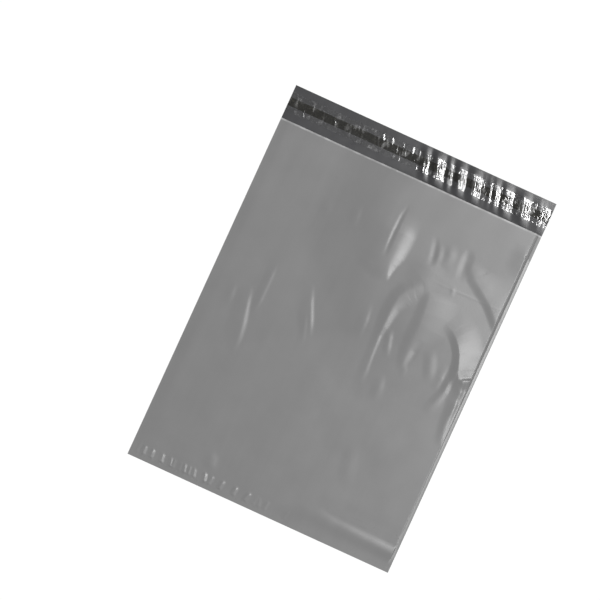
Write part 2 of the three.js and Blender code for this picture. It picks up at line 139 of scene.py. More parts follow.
# Swells over the air in the pocket: centre, reach left, right and along, crown share, height
SWELLS = [
    dict(at=(66, 345), left=150, right=185, along=195, crown=0.45, height=4.6),
    dict(at=(64, 280), left=50, right=98, along=62, crown=0.0, height=1.9),
    dict(at=(-30, 240), left=115, right=130, along=210, crown=0.0, height=0.4),
    dict(at=(100, 150), left=70, right=75, along=80, crown=0.2, height=0.4),
]

# Creases: ridges, or grooves where the height is below 0. Each point of a path has x, up, height,
# and the widths of its slopes: the one towards +X (or +Y on a level path), then the other.
# A keenness of 0 makes the ridge line round, 1 makes it sharp. A SHOULDER is broad and round on top
# and is steepest low on its plus side.
SHOULDER = -1.0
SHOULDER_POWER = 1.35
SHARP_POWER = 1.5
CREASES = [
    # The long crease below the bright tongue of film, and the stroke across it to the weld
    (0.6, [(98, 267, 0, 24, 8), (108, 262, 0.5, 26, 8), (114, 257, 1.2, 28, 8),
           (119, 251, 1.9, 28, 7.5), (124, 243, 2.5, 28, 7), (127, 235.5, 2.8, 23, 7.5),
           (130, 227.5, 2.8, 20, 9.5), (133, 221.5, 2.3, 17, 10), (136.5, 215, 1.1, 14, 10),
           (140, 208, 0.3, 10, 8), (142, 203, 0, 7, 8)]),
    (0.4, [(135.5, 217, 0, 2.8, 8), (140, 219, 1.2, 3.0, 11), (146, 222, 1.7, 3.0, 12),
           (153, 225, 1.5, 3.0, 12)]),
    # The folds that run on below it, and the edge strip beside the weld
    (0.3, [(129, 222, 0.8, 4, 8), (127.5, 212, 0.9, 5, 7), (126.5, 200, 0.7, 6, 7),
           (122, 186, 0.4, 8, 8), (116, 172, 0, 8, 8)]),
    (0.5, [(141, 216, 0.9, 5, 12), (142.8, 206, 1.1, 5, 13), (142.6, 198, 0.8, 4, 13),
           (143.4, 192, 1.2, 4.5, 12), (143.5, 167, 0.8, 4.5, 9), (145, 146, 0, 4, 8)]),
    # The hooked band above the tongue
    (0.05, [(96, 338, 0, 12, 7), (99, 331, 0.25, 14, 8.5), (106, 323, 0.7, 19, 10),
            (118, 315, 0.9, 28, 10), (131, 306, 0.9, 38, 9.5), (141, 296, 1.0, 30, 9),
            (152, 284, 0.7, 20, 9)]),
    (0.0, [(149, 380, 0, 5, 20), (149, 367, 0.6, 5, 21), (149, 354, 0.6, 5, 21), (149, 341, 0, 5, 20)]),
    (0.2, [(88, 350, 0, 7, 5), (90, 340, -0.36, 9, 8), (90.5, 330, -0.38, 9, 8), (91, 320, -0.15, 7, 7),
           (91, 312, 0, 6, 6)]),
    # The facet left of it, its foot and the thin groove beside it
    (SHOULDER, [(13, 355, 0, 19, 34), (12.5, 345, 0.4, 20, 38), (12, 335, 1.3, 21, 40),
                (12, 320, 1.7, 20, 40), (12.5, 306, 1.8, 18, 40), (14, 298, 1.6, 13.5, 36),
                (16.5, 290, 1.0, 8.5, 24), (20, 281, 0, 4, 14)]),
    (0.0, [(60, 322, 0, 30, 26), (58, 312, 0.3, 34, 27), (54, 300, 0.35, 34, 27), (46, 288, 0, 24, 22)]),
    (0.4, [(10, 366, 0, 3, 3), (8, 350, -0.3, 3.5, 3.5), (7.3, 332, -0.42, 4, 3.5),
           (7.6, 319, -0.32, 4, 3.5), (8.2, 303, 0, 4, 3)]),
    # Small folds between the facet and the hook
    (0.2, [(50.5, 348, 0, 4, 5), (54, 337, -0.28, 4.5, 6), (56, 327, -0.28, 4.5, 6), (57, 315, 0, 4, 6)]),
    (0.2, [(59, 342, 0, 5, 4), (61, 330, 0.25, 7, 4), (62.5, 316, 0, 6, 4)]),
    (0.1, [(69, 347, 0, 8, 8), (71.5, 335, 0.3, 9, 8), (72, 320, 0, 8, 8)]),
    (0.6, [(62, 302, 0, 1.7, 1.7), (80, 302.3, 0.10, 1.8, 1.8), (98, 302.6, 0.13, 1.8, 1.8),
           (125, 303, 0.08, 1.8, 1.8), (148, 303.5, 0.05, 1.8, 1.8)]),
    (0.2, [(88, 308, 0, 3, 4), (90, 301, 0.15, 4, 4), (91, 295, 0, 3, 4)]),
    # The two long folds in the middle, which end round at the top
    (0.35, [(60, 292, 0, 14, 8), (51, 287, 0.5, 17, 10), (44.5, 280, 0.9, 18, 12),
            (40.2, 271, 1.3, 17, 12), (38.6, 259, 1.5, 11, 11), (38.3, 246, 1.5, 8.5, 11),
            (38.3, 236, 1.2, 7, 10), (38.5, 227, 0.7, 4, 9),
            (39.5, 205, 0.5, 3.8, 9), (40.5, 187, 0.4, 5, 9), (41, 168, 0, 5, 9)]),
    (0.1, [(69, 291, 0, 24, 8), (71, 282, 0.7, 34, 10.5), (72.5, 268, 1.0, 38, 12),
           (73.5, 254, 1.1, 32, 13), (73, 240, 1.0, 24, 12.5), (72.5, 226, 0.8, 12, 11.5),
           (73, 213, 0.5, 6.5, 9), (74, 202, 0, 5, 7)]),
    (0.2, [(47.5, 238, 0, 4, 5), (49, 229, 0.5, 5.5, 6), (51.5, 219, 0.45, 5.5, 7), (56, 207, 0, 4, 6)]),
    (0.2, [(76, 212, 0, 4, 5), (78.5, 204, 0.15, 4, 6), (79, 195, 0, 4, 6)]),
    (0.1, [(94, 236, 0, 8, 9), (99, 225, 0.35, 9, 9), (103, 214, 0.35, 9, 9), (110, 200, 0, 8, 9)]),
    (0.2, [(83, 240, 0, 5, 6), (80, 226, -0.25, 6, 6), (79, 213, 0, 6, 6)]),
    (0.1, [(117.5, 228, 0, 4, 6), (117, 212, 0.28, 5, 9), (116, 197, 0, 4, 9)]),
    (0.2, [(16.5, 254, 0, 4, 9), (18, 236, 0.45, 5, 11), (19.5, 213, 0, 4, 9)]),
    (0.2, [(60.5, 190, 0, 5, 9), (61.5, 176, 0.45, 6.5, 11), (62.5, 160, 0, 5, 9)]),
    (0.1, [(67, 112, 0, 10, 12), (65, 97, 0.3, 12, 12), (67, 82, 0.3, 12, 12), (70, 66, 0, 10, 10)]),
    # Faint streaks on the flat left half
    (0.3, [(-92, 252, 0, 3, 7), (-92, 236, 0.3, 3.5, 9), (-92, 208, 0.3, 3.5, 9), (-93, 192, 0, 3, 7)]),
    (0.2, [(-107.5, 219, 0, 4, 12), (-104, 199, 0.6, 5.5, 18), (-99.5, 178, 0.75, 6.5, 20),
           (-97, 162, 0.5, 6, 18), (-96, 146, 0, 4, 12)]),
    (0.2, [(-124, 216, 0, 4, 9), (-123, 202, 0.35, 5, 11), (-122, 188, 0, 4, 9)]),
    (0.3, [(-49, 247, 0, 3.5, 10), (-42.5, 228, 0.6, 5, 15), (-34.5, 210, 0.6, 5, 15),
           (-27.5, 193, 0, 3.5, 10)]),
    (0.3, [(-44, 219, 0, 3, 7), (-38, 203, 0.3, 4, 9), (-32, 184, 0, 3, 7)]),
    (0.1, [(-68, 340, 0, 5, 9), (-67, 327, 0.3, 5.5, 10), (-66, 314, 0, 5, 9)]),
    (0.1, [(-38, 346, 0, 5, 9), (-36.5, 332, 0.35, 6, 10), (-35, 317, 0, 5, 9)]),
    (0.3, [(-68, 41, 0, 4, 10), (-67, 34, 0.75, 4.5, 12), (-66, 26, 0.75, 4.5, 12), (-66, 19, 0, 4, 10)]),
    # The fold along the bottom seal and the hollow behind it
    (0.2, [(35, 24, 0, 8, 12), (65, 23.5, 0.5, 9, 14), (110, 22, 1.0, 9.5, 14), (153, 20.5, 1.0, 10, 14)]),
    (0.1, [(45, 38, 0, 10, 7), (80, 34.5, -0.5, 14, 9), (153, 33, -0.75, 16, 9)]),
]

# Short gathers above the bottom seal: x, height, and how far the crest leans for each mm up
SEAL_GATHERS = [
    (-145.8, 0.35, 0.0), (-138, 0.85, 0.0), (-129, 1.05, 0.0), (-117.2, 0.85, -0.1),
    (-106.8, 0.70, -0.2), (-103.6, 0.40, 0.0), (-95.5, 0.30, 0.0), (-90.6, 0.70, -0.2),
    (-85.3, 0.50, -0.1), (-79.6, 0.60, -0.2), (-67, 1.05, -0.25), (-60.6, 0.75, 0.2),
    (-48.2, 0.95, 0.2), (-32.5, 0.90, 0.15), (-18, 0.85, 0.35), (-8, 0.20, 0.3), (-3.5, 0.22, -0.2),
    (4.5, 0.30, 0.2), (28, 0.18, 0.3),
]
GATHER_PLUS_WIDTH = 3.1
GATHER_MINUS_WIDTH = 3.6
GATHER_SPAN = (4.0, 17.0)
GATHER_END_POWER = 2.4

# The gap between the panels where nothing lifts the film, and how it rises from the welds and the seal.
# On the right the rise is wider where the film stands higher.
RESTING_GAP = 0.5
LEAST_GAP = 0.35
LEFT_RISE_WIDTH = 7.0
RIGHT_RISE_WIDTH = 1.2
RIGHT_RISE_SHARE = 0.5
SEAL_RISE_WIDTH = 16.0
FILM_WAVES = dict(wavelengths=(18, 60), height=0.035, seed=4, stretch=2.2)

# The front panel's lip hangs down a little at the mouth, by a drop that varies along it
LIP_WIDTH = 2.8
LIP_DROP = 0.30
LIP_DROP_SHARE = 0.75
LIP_WAVES = dict(wavelengths=(9, 30), height=0.35, seed=12)


def swell_height(swell, x, up):
    """A low round hill, level over its crown."""
    dx = x - swell["at"][0]
    across = dx / np.where(dx < 0, swell["left"], swell["right"])
    along = (up - swell["at"][1]) / swell["along"]
    outward = (np.hypot(across, along) - swell["crown"]) / (1 - swell["crown"])
    return swell["height"] * bell(outward)


# On a crest itself the distance from it is 0, and nothing can be divided by that
LEAST_DISTANCE = 1e-9


def crease_height(keen, path, x, up):
    """A ridge along a path. Its height and widths are those of the nearest point of the path."""
    nearest = np.full_like(x, np.inf)
    height = np.zeros_like(x)
    width = np.ones_like(x)
    on_plus = np.zeros(x.shape, dtype=bool)
    for (x0, up0, height0, plus0, minus0), (x1, up1, height1, plus1, minus1) in zip(path, path[1:]):
        dx, dup = x1 - x0, up1 - up0
        along = np.clip(((x - x0) * dx + (up - up0) * dup) / (dx * dx + dup * dup), 0.0, 1.0)
        from_x, from_up = x - x0 - along * dx, up - up0 - along * dup
        away = np.hypot(from_x, from_up)
        side = (dx * from_up - dup * from_x) / (math.hypot(dx, dup) * np.maximum(away, LEAST_DISTANCE))
        plus = plus0 + (plus1 - plus0) * along
        minus = minus0 + (minus1 - minus0) * along
        closer = away < nearest
        nearest = np.where(closer, away, nearest)
        height = np.where(closer, height0 + (height1 - height0) * along, height)
        width = np.where(closer, minus + (plus - minus) * (1 + side) / 2, width)
        on_plus = np.where(closer, side > 0, on_plus)
    share = np.clip(nearest / width, 0.0, 1.0)
    if keen == SHOULDER:
        return height * bell(np.where(on_plus, share ** SHOULDER_POWER, share))
    return height * ((1 - keen) * bell(share) + keen * (1 - share) ** SHARP_POWER)


def gather_height(x, up):
    """The highest of the gathers here: sharp ridges that end softly above and below."""
    low, high = GATHER_SPAN
    middle = (low + high) / 2
    lengthwise = bell(np.abs((up - middle) / ((high - low) / 2)) ** GATHER_END_POWER)
    highest = np.zeros_like(x)
    for place, height, lean in SEAL_GATHERS:
        away = x - place - lean * (up - middle)
        width = np.where(away > 0, GATHER_PLUS_WIDTH, GATHER_MINUS_WIDTH)
        highest = np.maximum(highest, height * (1 - np.clip(np.abs(away) / width, 0.0, 1.0)))
    return highest * lengthwise


def pocket_gap(x, up):
    """Clear height between the panels, nothing at the side welds and the bottom seal."""
    at_seal = smooth((up - BOTTOM_SEAL_WIDTH) / SEAL_RISE_WIDTH)
    loose = np.full_like(x, RESTING_GAP)
    for swell in SWELLS:
        loose = loose + swell_height(swell, x, up)
    for keen, path in CREASES:
        loose = loose + crease_height(keen, path, x, up)
    loose = loose + ripple(x, up, **FILM_WAVES)
    into_lip = np.clip((up - POCKET_LENGTH + LIP_WIDTH) / LIP_WIDTH, 0.0, 1.0)
    drop = LIP_DROP * (LIP_DROP_SHARE + ripple(x, 0 * up, **LIP_WAVES)) * into_lip ** 2
    loose = np.maximum(loose, LEAST_GAP + LIP_DROP * into_lip) - np.clip(drop, 0.0, LIP_DROP)
    right_rise = RIGHT_RISE_WIDTH + RIGHT_RISE_SHARE * np.maximum(loose, 0.0)
    at_sides = smooth((WELD_X + x) / LEFT_RISE_WIDTH) * smooth((WELD_X - x) / right_rise)
    return at_sides * (at_seal * loose + gather_height(x, up))


# Folds of the flap, which the glue and the liner follow: x on the liner's line and height.
# They lean: the crest moves by LEAN for each millimetre up.
LINER_LINE = 413.5
LEAN = -0.27
FLAP_FOLDS = [
    (-160, 0.0), (0, 0.0), (7, 1.2), (13.5, 0.2), (19, 1.9), (31, 0.3), (34, 1.2), (40, 0.4), (46, 1.9),
    (55, 0.5), (63, 1.9), (72.5, 0.5), (76, 0.8), (77.5, 0.6), (82, 1.1), (84.5, 0.8), (88.5, 1.3),
    (95, 0.6), (100, 1.5), (110, 0.3), (121, 1.7), (130.5, 0.5), (141, 1.1), (143.5, 0.7),
    (145.5, 0.9), (147.5, 0.5), (160, 0.5),
]
FOLD_SPAN = (402.5, 425.0)
FOLD_SHARE_AT_END = 0.2
FOLD_SOFTENING = 1.6
SOFTENING_STEPS = 3


def crest_of(x, up):
    """Where on the liner's line the fold through this place is."""
    return x - LEAN * (up - LINER_LINE)


def flap_height(x, up):
    """How far the flap's film stands off the floor: slanted folds, which die away past the liner."""
    crest = crest_of(x, up)
    places, heights = zip(*FLAP_FOLDS)
    steps = range(-SOFTENING_STEPS, SOFTENING_STEPS + 1)
    shifts = [FOLD_SOFTENING * step / SOFTENING_STEPS for step in steps]
    folds = sum(np.interp(crest + shift, places, heights) for shift in shifts) / len(shifts)
    to_mouth = np.clip((FOLD_SPAN[0] - up) / (FOLD_SPAN[0] - POCKET_LENGTH), 0.0, 1.0)
    to_end = np.clip((up - FOLD_SPAN[1]) / (TOTAL_LENGTH - FOLD_SPAN[1]), 0.0, 1.0)
    share = 1 - to_mouth - (1 - FOLD_SHARE_AT_END) * to_end
    return share * folds


# Columns of the flap's meshes. They start past the sides, so that the leaning ones reach all corners.
# The right half has the smaller step, because most of the folds are there.
FLAP_STEPS = (1.0, 0.55)
COLUMN_OVERRUN = 8
LEAST_STEP_AT_SIDE = 0.3


def side_to_side(columns):
    """The columns with one more at each side of the bag."""
    return np.concatenate([[-HALF_WIDTH], columns, [HALF_WIDTH]])


def flap_columns(up, every=1):
    """Columns of the flap that lean as its folds do, between its two straight sides."""
    reach = HALF_WIDTH + COLUMN_OVERRUN
    columns = spaced([-reach, 0, reach], FLAP_STEPS)[::every] + LEAN * (up - LINER_LINE)
    return side_to_side(columns[np.abs(columns) < HALF_WIDTH - LEAST_STEP_AT_SIDE])


# A mesh of rows of points

SHARP_ANGLE = math.radians(35)
ACROSS, ALONG = 0, 1


class Rows:
    """Collects points and triangles, with one material number for each triangle."""

    def __init__(self):
        self.points = []
        self.faces = []
        self.kinds = []

    def row(self, x, up, height):
        """Adds a row of points and gives their numbers. What is one value holds for the whole row."""
        x, up, height = np.broadcast_arrays(x, up, height)
        start = len(self.points)
        self.points.extend(zip(x * MM, (up - TOTAL_LENGTH / 2) * MM, height * MM))
        return list(range(start, start + len(x)))

    def band(self, lower, upper, axis, kind=0, turned=False, lean=0.0):
        """Joins two rows that run along the same axis, each in its own spacing, by a band of triangles.

        A turned band faces the other way. Rows of leaning columns are matched along their lean.
        """
        def place(point):
            return self.points[point][axis] - lean * self.points[point][ALONG]

        i = j = 0
        while i < len(lower) - 1 or j < len(upper) - 1:
            lower_next = place(lower[i + 1]) if i < len(lower) - 1 else math.inf
            upper_next = place(upper[j + 1]) if j < len(upper) - 1 else math.inf
            if lower_next <= upper_next:
                face = (lower[i], lower[i + 1], upper[j])
                i += 1
            else:
                face = (lower[i], upper[j + 1], upper[j])
                j += 1
            self.faces.append((face[0], face[2], face[1]) if turned else face)
            self.kinds.append(kind)

    def face(self, rows, kind=0, turned=False, lean=0.0):
        """Joins many rows across the bag, each with the next."""
        for lower, upper in zip(rows, rows[1:]):
            self.band(lower, upper, ACROSS, kind, turned, lean)

    def build(self, name, materials):
        """Makes the object, shaded smooth but for its sharp edges."""
        mesh = bpy.data.meshes.new(name)
        mesh.from_pydata(self.points, [], self.faces)
        for material in materials:
            mesh.materials.append(material)
        mesh.polygons.foreach_set("material_index", self.kinds)
        mesh.polygons.foreach_set("use_smooth", [True] * len(self.faces))
        mesh.set_sharp_from_angle(angle=SHARP_ANGLE)
        mesh.update()
        piece = bpy.data.objects.new(name, mesh)
        bpy.context.scene.collection.objects.link(piece)
        return piece


# The film

OUTER, INNER = 0, 1

# Rows and columns of the front panel: the stops, and the step between each two. Steps are small where the
# film has sharp forms. The columns change along the bag, and each zone of them has its last row first.
FRONT_ROW_STOPS = [0, BOTTOM_SEAL_WIDTH, 17, 40, 140, 180, 212, 234, 350, 391, POCKET_LENGTH]
FRONT_ROW_STEPS = [1.5, 0.9, 2.4, 4.0, 2.4, 1.2, 0.8, 1.15, 2.4, 0.55]
CREASED_STOPS = [-WELD_X, -127, -84, -52, -20, 0, 145, WELD_X]
COLUMN_ZONES = [
    (17, [-WELD_X, 40, 145, WELD_X], [0.6, 3.0, 0.4]),
    (178, CREASED_STOPS, [5.0, 1.3, 4.0, 1.3, 5.0, 2.4, 0.4]),
    (365, CREASED_STOPS, [5.0, 1.3, 4.0, 1.3, 2.0, 1.05, 0.5]),
    (POCKET_LENGTH, [-WELD_X, 0, WELD_X], [3.0, 1.8]),
]
FLAT_STEP = 12.0
FLAP_ROW_STEP = 1.3

# The hidden inner face of the front panel has every second row and column inside these spans, and lies a
# little lower there, so that it stays below the outer face
COARSE_SPAN = (45.0, 385.0)
COARSE_X = (8.0 - WELD_X, 144.0)
CEILING_DROP = 0.2
CEILING_DROP_SHARE = 0.4


def front_columns(up):
    """Columns of the front panel from weld to weld, in the row that is this far up."""
    stops, steps = next((stops, steps) for last, stops, steps in COLUMN_ZONES if up <= last)
    return spaced(stops, steps)


def front_panel(mesh, ups):
    """Rows of the front panel's outside and of the pocket's ceiling, and how far up the ceiling's are."""
    outside, ceiling, ceiling_ups = [], [], []
    for number, up in enumerate(ups):
        x = front_columns(up)
        gap = pocket_gap(x, np.full_like(x, up)) if up > BOTTOM_SEAL_WIDTH else np.zeros_like(x)
        outside.append(mesh.row(side_to_side(x), up, WELD_TOP + np.pad(gap, 1)))
        coarse = COARSE_SPAN[0] < up < COARSE_SPAN[1]
        if up < BOTTOM_SEAL_WIDTH or coarse and number % 2:
            continue
        if coarse:
            kept = (x < COARSE_X[0]) | (x > COARSE_X[1]) | (np.arange(len(x)) % 2 == 0)
            x, gap = x[kept], gap[kept]
            gap = gap - np.minimum(CEILING_DROP, CEILING_DROP_SHARE * gap)
        ceiling.append(mesh.row(x, up, FILM_THICKNESS + gap))
        ceiling_ups.append(up)
    return outside, ceiling, ceiling_ups


def pocket_floor(mesh, ceiling, ceiling_ups):
    """Rows of the pocket's floor. Each shares its ends with the ceiling's row, and the first is that row."""
    x = spaced([-WELD_X, WELD_X], [FLAT_STEP])[1:-1]
    rows = [ceiling[0]]
    for above, up in zip(ceiling[1:], ceiling_ups[1:]):
        rows.append([above[0]] + mesh.row(x, up, FILM_THICKNESS) + [above[-1]])
    return rows


def flap_rows(mesh):
    """Rows of the flap's upper and under side, past its foot at the mouth, in every second column."""
    upper, under = [], []
    for up in spaced([POCKET_LENGTH, TOTAL_LENGTH], [FLAP_ROW_STEP])[1:]:
        x = flap_columns(up, every=2)
        rise = flap_height(x, np.full_like(x, up))
        upper.append(mesh.row(x, up, FILM_THICKNESS + rise))
        under.append(mesh.row(x, up, rise))
    return upper, under


def bag_film():
    """Front panel, back panel and flap: one film, grey outside and near black inside."""
    mesh = Rows()
    ups = spaced(FRONT_ROW_STOPS, FRONT_ROW_STEPS)
    outside, ceiling, ceiling_ups = front_panel(mesh, ups)
    floor = pocket_floor(mesh, ceiling, ceiling_ups)
    corners = mesh.row(np.array([-HALF_WIDTH, HALF_WIDTH]), POCKET_LENGTH, FILM_THICKNESS)
    flap_upper, flap_under = flap_rows(mesh)
    flap_foot = [corners[0]] + floor[-1] + [corners[1]]
    bottom_x = side_to_side(front_columns(ups[0]))
    back_x = spaced([-HALF_WIDTH, HALF_WIDTH], [FLAT_STEP])
    underside = [mesh.row(bottom_x, ups[0], 0.0)] + [mesh.row(back_x, up, 0.0) for up in ups[1:]]

    mesh.face(outside, OUTER)
    mesh.face(ceiling, INNER, turned=True)
    mesh.face(floor, INNER)
    mesh.face(underside + flap_under[:1], OUTER, turned=True)
    mesh.face([flap_foot, flap_upper[0]], INNER)
    mesh.face(flap_upper, INNER, lean=LEAN)
    mesh.face(flap_under, OUTER, turned=True, lean=LEAN)

    # Edges: the mouth with its welded corners, the flap's free end, the bottom and both sides
    mesh.band([corners[0]] + ceiling[-1] + [corners[1]], outside[-1], ACROSS, OUTER, turned=True)
    mesh.band(flap_under[-1], flap_upper[-1], ACROSS, OUTER, turned=True)
    seam = mesh.row(bottom_x, ups[0], FILM_THICKNESS)
    mesh.band(underside[0], seam, ACROSS, OUTER)
    mesh.band(seam, outside[0], ACROSS, OUTER)
    for side, side_x, turned in ((0, -HALF_WIDTH, True), (-1, HALF_WIDTH, False)):
        low = [row[side] for row in underside + flap_under]
        middle = [seam[side]] + mesh.row(side_x, ups[1:-1], FILM_THICKNESS) + [corners[side]]
        mesh.band(low, middle + [row[side] for row in flap_upper], ALONG, OUTER, turned)
        mesh.band(middle, [row[side] for row in outside], ALONG, OUTER, turned)
    return mesh


# The glue stripe and the liner

GLUE_START = GLUE_LOW[1] / MM + TOTAL_LENGTH / 2
GLUE_END = GLUE_HIGH[1] / MM + TOTAL_LENGTH / 2
GLUE_THICKNESS = 0.1
GLUE_LEAST_THICKNESS = 0.004
GLUE_EDGE_WIDTH = 0.6
GLUE_ROW_STEPS = (0.2, 0.9, 0.2)
GLUE_FULLNESS = 0.9
GLUE_LEAST_FULLNESS = 0.6
GLUE_WAVES = dict(wavelengths=(6, 30), height=0.08, seed=9)

LINER_START = LINER_LOW[1] / MM + TOTAL_LENGTH / 2
LINER_END = LINER_HIGH[1] / MM + TOTAL_LENGTH / 2
LINER_THICKNESS = 0.04
LINER_ROW_STEP = 0.9
CLEARANCE = 0.03
LINER_RAMP = 2.0


def closed_sheet(ups, under, top):
    """A thin closed sheet between two height functions, in columns that lean as the flap's folds."""
    mesh = Rows()
    below, above = [], []
    for up in ups:
        x = flap_columns(up)
        x_ups = np.full_like(x, up)
        below.append(mesh.row(x, up, under(x, x_ups)))
        above.append(mesh.row(x, up, top(x, x_ups)))
    mesh.face(above, lean=LEAN)
    mesh.face(below, turned=True, lean=LEAN)
    mesh.band(below[0], above[0], ACROSS)
    mesh.band(below[-1], above[-1], ACROSS, turned=True)
    mesh.band([row[0] for row in below], [row[0] for row in above], ALONG, turned=True)
    mesh.band([row[-1] for row in below], [row[-1] for row in above], ALONG)
    return mesh


def glue_stripe():
    """The bead of hot-melt glue, thin at its edges and a little uneven along its run."""
    ups = spaced([GLUE_START, GLUE_START + GLUE_EDGE_WIDTH, GLUE_END - GLUE_EDGE_WIDTH, GLUE_END],
                 GLUE_ROW_STEPS)
    middle = (GLUE_START + GLUE_END) / 2
    half = (GLUE_END - GLUE_START) / 2

    def under(x, up):
        return FILM_THICKNESS + CLEARANCE + flap_height(x, up)

    def top(x, up):
        edge = np.clip((half - np.abs(up - middle)) / GLUE_EDGE_WIDTH, 0.0, 1.0)
        fullness = np.clip(GLUE_FULLNESS + ripple(x, up, **GLUE_WAVES), GLUE_LEAST_FULLNESS, 1.0)
        return under(x, up) + GLUE_LEAST_THICKNESS + GLUE_THICKNESS * np.sqrt(edge) * fullness

    return closed_sheet(ups, under, top)


# Puckers of the liner, which lean as the folds do: x on its middle line, half width, and height near its
# mouth side, at its middle and near its free side. At the very edge it is PUCKER_SHARE_AT_EDGE as high.
LINER_PUCKERS = [
    (-144, 1.6, 0.0, 0.05, 0.35), (-140.5, 2.2, 0.1, 0.1, 0.15), (-137.8, 1.8, 0.35, 0.1, 0.0),
    (-134.6, 1.8, 0.35, 0.15, 0.0), (-125.5, 2.5, 0.0, 0.1, 0.15), (-113, 1.8, 0.0, 0.15, 0.15),
    (-99, 1.5, 0.0, 0.3, 0.05), (-94, 1.6, 0.1, 0.0, 0.05), (-91, 2.0, 0.0, 0.03, 0.08),
    (-81, 2.0, 0.0, 0.03, 0.08), (-71.8, 1.4, 0.13, 0.03, 0.2), (-63.3, 1.4, 0.0, 0.12, 0.12),
    (-54, 3.0, 0.0, 0.05, 0.14), (-43.5, 2.2, 0.0, 0.05, 0.4), (-33, 2.6, 0.0, 0.06, 0.35),
    (-26.5, 1.6, 0.0, 0.25, 0.03), (-20, 1.5, 0.0, 0.12, 0.2), (-23, 1.5, 0.3, 0.08, 0.0),
    (-57, 1.3, 0.0, 0.06, 0.16), (-48.5, 1.2, 0.05, 0.14, 0.0), (-38.5, 1.3, 0.14, 0.05, 0.1),
    (-29.5, 1.2, 0.2, 0.1, 0.0), (-17, 1.2, 0.05, 0.2, 0.1), (-5.5, 1.3, 0.15, 0.25, 0.1),
    (-14, 1.4, 0.18, 0.0, 0.0), (-10.5, 1.4, 0.22, 0.0, 0.0), (-9, 2.6, 0.0, 0.1, 0.5),
    (-1, 1.6, 0.0, 0.1, 0.4), (-2.5, 1.6, 0.35, 0.05, 0.0), (5.2, 1.8, 0.4, 0.1, 0.0),
    (9.5, 2.6, 0.05, 0.2, 0.6), (13.5, 1.5, 0.3, 0.05, 0.3), (18, 1.6, 0.3, 0.05, 0.1),
    (22, 2.4, 0.5, 0.2, 0.1), (27, 3.0, 0.1, 0.2, 0.3), (37, 2.0, 0.3, 0.25, 0.2),
    (50, 2.5, 0.3, 0.2, 0.3), (53, 1.6, 0.15, 0.25, 0.1), (66, 2.4, 0.2, 0.3, 0.3),
    (70, 2.0, 0.4, 0.2, 0.1), (83, 2.0, 0.2, 0.3, 0.4), (90, 2.5, 0.4, 0.3, 0.1),
    (97, 2.2, 0.35, 0.2, 0.0), (104, 3.0, 0.3, 0.3, 0.4), (108, 1.8, 0.3, 0.1, 0.1),
    (125, 3.0, 0.3, 0.25, 0.3), (128.5, 1.6, 0.1, 0.3, 0.1), (142, 1.6, 0.4, 0.4, 0.3),
    (146.5, 1.6, 0.3, 0.3, 0.3),
]
PUCKER_STOPS = [0.0, 0.15, 0.5, 0.85, 1.0]
PUCKER_SHARE_AT_EDGE = 0.6

# Wrinkles and crinkles all over the liner, which is pulled smoother on the left half
CRINKLES = [
    dict(wavelengths=(8, 18), height=0.20, seed=34, stretch=1.2),
    dict(wavelengths=(3, 8), height=0.13, seed=21, stretch=1.5),
    dict(wavelengths=(1.4, 3), height=0.05, seed=8, stretch=1.2),
]
CRINKLE_SHARE_LEFT = 0.1
LOOSE_FROM_X = -25
LOOSENING_WIDTH = 55


def liner_lift(x, up):
    """How far the liner stands off what lies below it."""
    crest = crest_of(x, up)
    across = (up - LINER_START) / (LINER_END - LINER_START)
    puckers = np.zeros_like(x)
    for place, half_width, at_mouth, at_middle, at_end in LINER_PUCKERS:
        edges = PUCKER_SHARE_AT_EDGE * at_mouth, PUCKER_SHARE_AT_EDGE * at_end
        height = np.interp(across, PUCKER_STOPS, [edges[0], at_mouth, at_middle, at_end, edges[1]])
        puckers = np.maximum(puckers, height * bell(np.abs(crest - place) / half_width))
    loose = smooth((x - LOOSE_FROM_X) / LOOSENING_WIDTH)
    crinkles = sum(np.abs(ripple(crest, up, **waves)) for waves in CRINKLES)
    return puckers + crinkles * (CRINKLE_SHARE_LEFT + (1 - CRINKLE_SHARE_LEFT) * loose)


def liner():
    """The release liner, which lies over the glue and comes down to the film beside it."""
    def under(x, up):
        past_start = smooth((up - GLUE_START + LINER_RAMP) / LINER_RAMP)
        before_end = smooth((GLUE_END + LINER_RAMP - up) / LINER_RAMP)
        base = FILM_THICKNESS + (CLEARANCE + GLUE_THICKNESS) * (past_start * before_end)
        return base + CLEARANCE + flap_height(x, up) + liner_lift(x, up)

    def top(x, up):
        return under(x, up) + LINER_THICKNESS

    return closed_sheet(spaced([LINER_START, LINER_END], [LINER_ROW_STEP]), under, top)


# Materials

